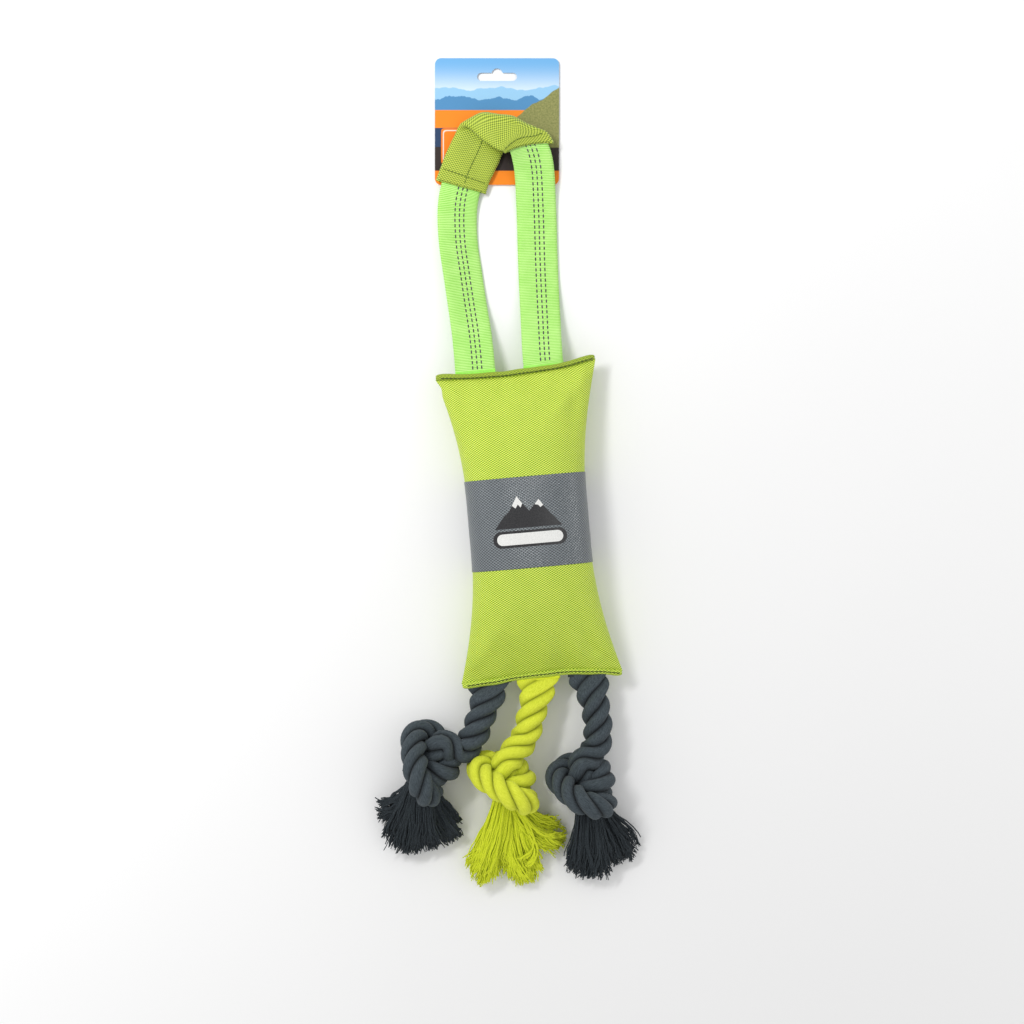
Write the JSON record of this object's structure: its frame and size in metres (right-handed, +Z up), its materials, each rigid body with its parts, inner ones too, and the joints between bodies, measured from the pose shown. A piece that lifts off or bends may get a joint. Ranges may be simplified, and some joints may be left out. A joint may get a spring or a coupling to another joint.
{
  "type": "dog training bumper",
  "caption": "Lime stuffed fabric dog training bumper with a grey reflective band, a webbing loop handle with a fabric grip, three knotted rope legs and a card hang tag",
  "frame": {"origin": "centre of the pouch's flat underside, where it rests on a surface", "axes": "+Y runs along the pouch from the ropes to the handle, +Z is up, away from the surface; +X is to the right seen from above with the handle at the top"},
  "size_m": [0.2079, 0.6686, 0.0568],
  "materials": {
    "cover_fabric": "coarse woven polyester, slight sheen",
    "filling": "soft fibre filling",
    "band_fabric": "woven band with a reflective coating",
    "emblem_print": "heat pressed print",
    "green_thread": "sewing thread",
    "dark_thread": "sewing thread",
    "webbing": "ribbed woven webbing",
    "tracer_thread": "reflective thread",
    "grip_fabric": "coarse woven polyester",
    "slate_rope": "twisted cotton rope",
    "slate_yarn": "untwisted cotton yarn",
    "lime_rope": "twisted cotton rope",
    "lime_yarn": "untwisted cotton yarn",
    "printed_card": "coated printed board",
    "pin_plastic": "clear moulded plastic"
  },
  "bodies": {
    "pouch": {"pouch_cover": "cover_fabric", "foam_core": "filling", "back_seam_tape": "cover_fabric", "reflective_band": "band_fabric", "band_emblem": "emblem_print", "top_hem": "cover_fabric", "top_hem_thread": "green_thread", "webbing_tails": "webbing", "webbing_tail_bartacks": "green_thread", "bottom_hem": "cover_fabric", "bottom_hem_thread": "dark_thread", "rope_tails": "slate_rope", "rope_tail_bartacks": "dark_thread"},
    "handle": {"handle_webbing": "webbing", "tracer_threads": "tracer_thread", "grip_sleeve": "grip_fabric", "grip_seam_thread": "green_thread", "grip_hem_threads": "green_thread", "card_pin": "pin_plastic"},
    "left_rope": {"rope_left": "slate_rope", "rope_left_knot": "slate_rope", "rope_left_tassel": "slate_yarn"},
    "middle_rope": {"rope_middle": "lime_rope", "rope_middle_knot": "lime_rope", "rope_middle_tassel": "lime_yarn"},
    "right_rope": {"rope_right": "slate_rope", "rope_right_knot": "slate_rope", "rope_right_tassel": "slate_yarn"},
    "card": {"hang_card": "printed_card"}
  },
  "joints": [
    {"name": "handle_fold", "type": "hinge", "parent": "pouch", "child": "handle", "pos_m": [0, 0.1268, 0.02], "axis": [1, 0, 0], "range_deg": [-60, 95]},
    {"name": "left_rope_swing", "type": "hinge", "parent": "pouch", "child": "left_rope", "pos_m": [-0.041, -0.1299, 0.02], "axis": [-1, 0, 0], "range_deg": [-80, 75]},
    {"name": "middle_rope_swing", "type": "hinge", "parent": "pouch", "child": "middle_rope", "pos_m": [-0.002, -0.1299, 0.02], "axis": [-1, 0, 0], "range_deg": [-80, 75]},
    {"name": "right_rope_swing", "type": "hinge", "parent": "pouch", "child": "right_rope", "pos_m": [0.037, -0.1299, 0.02], "axis": [-1, 0, 0], "range_deg": [-80, 75]},
    {"name": "card_turn", "type": "hinge", "parent": "handle", "child": "card", "pos_m": [-0.01, 0.306, 0.0011], "axis": [0, 0, 1], "range_deg": [-15, 15]}
  ]
}
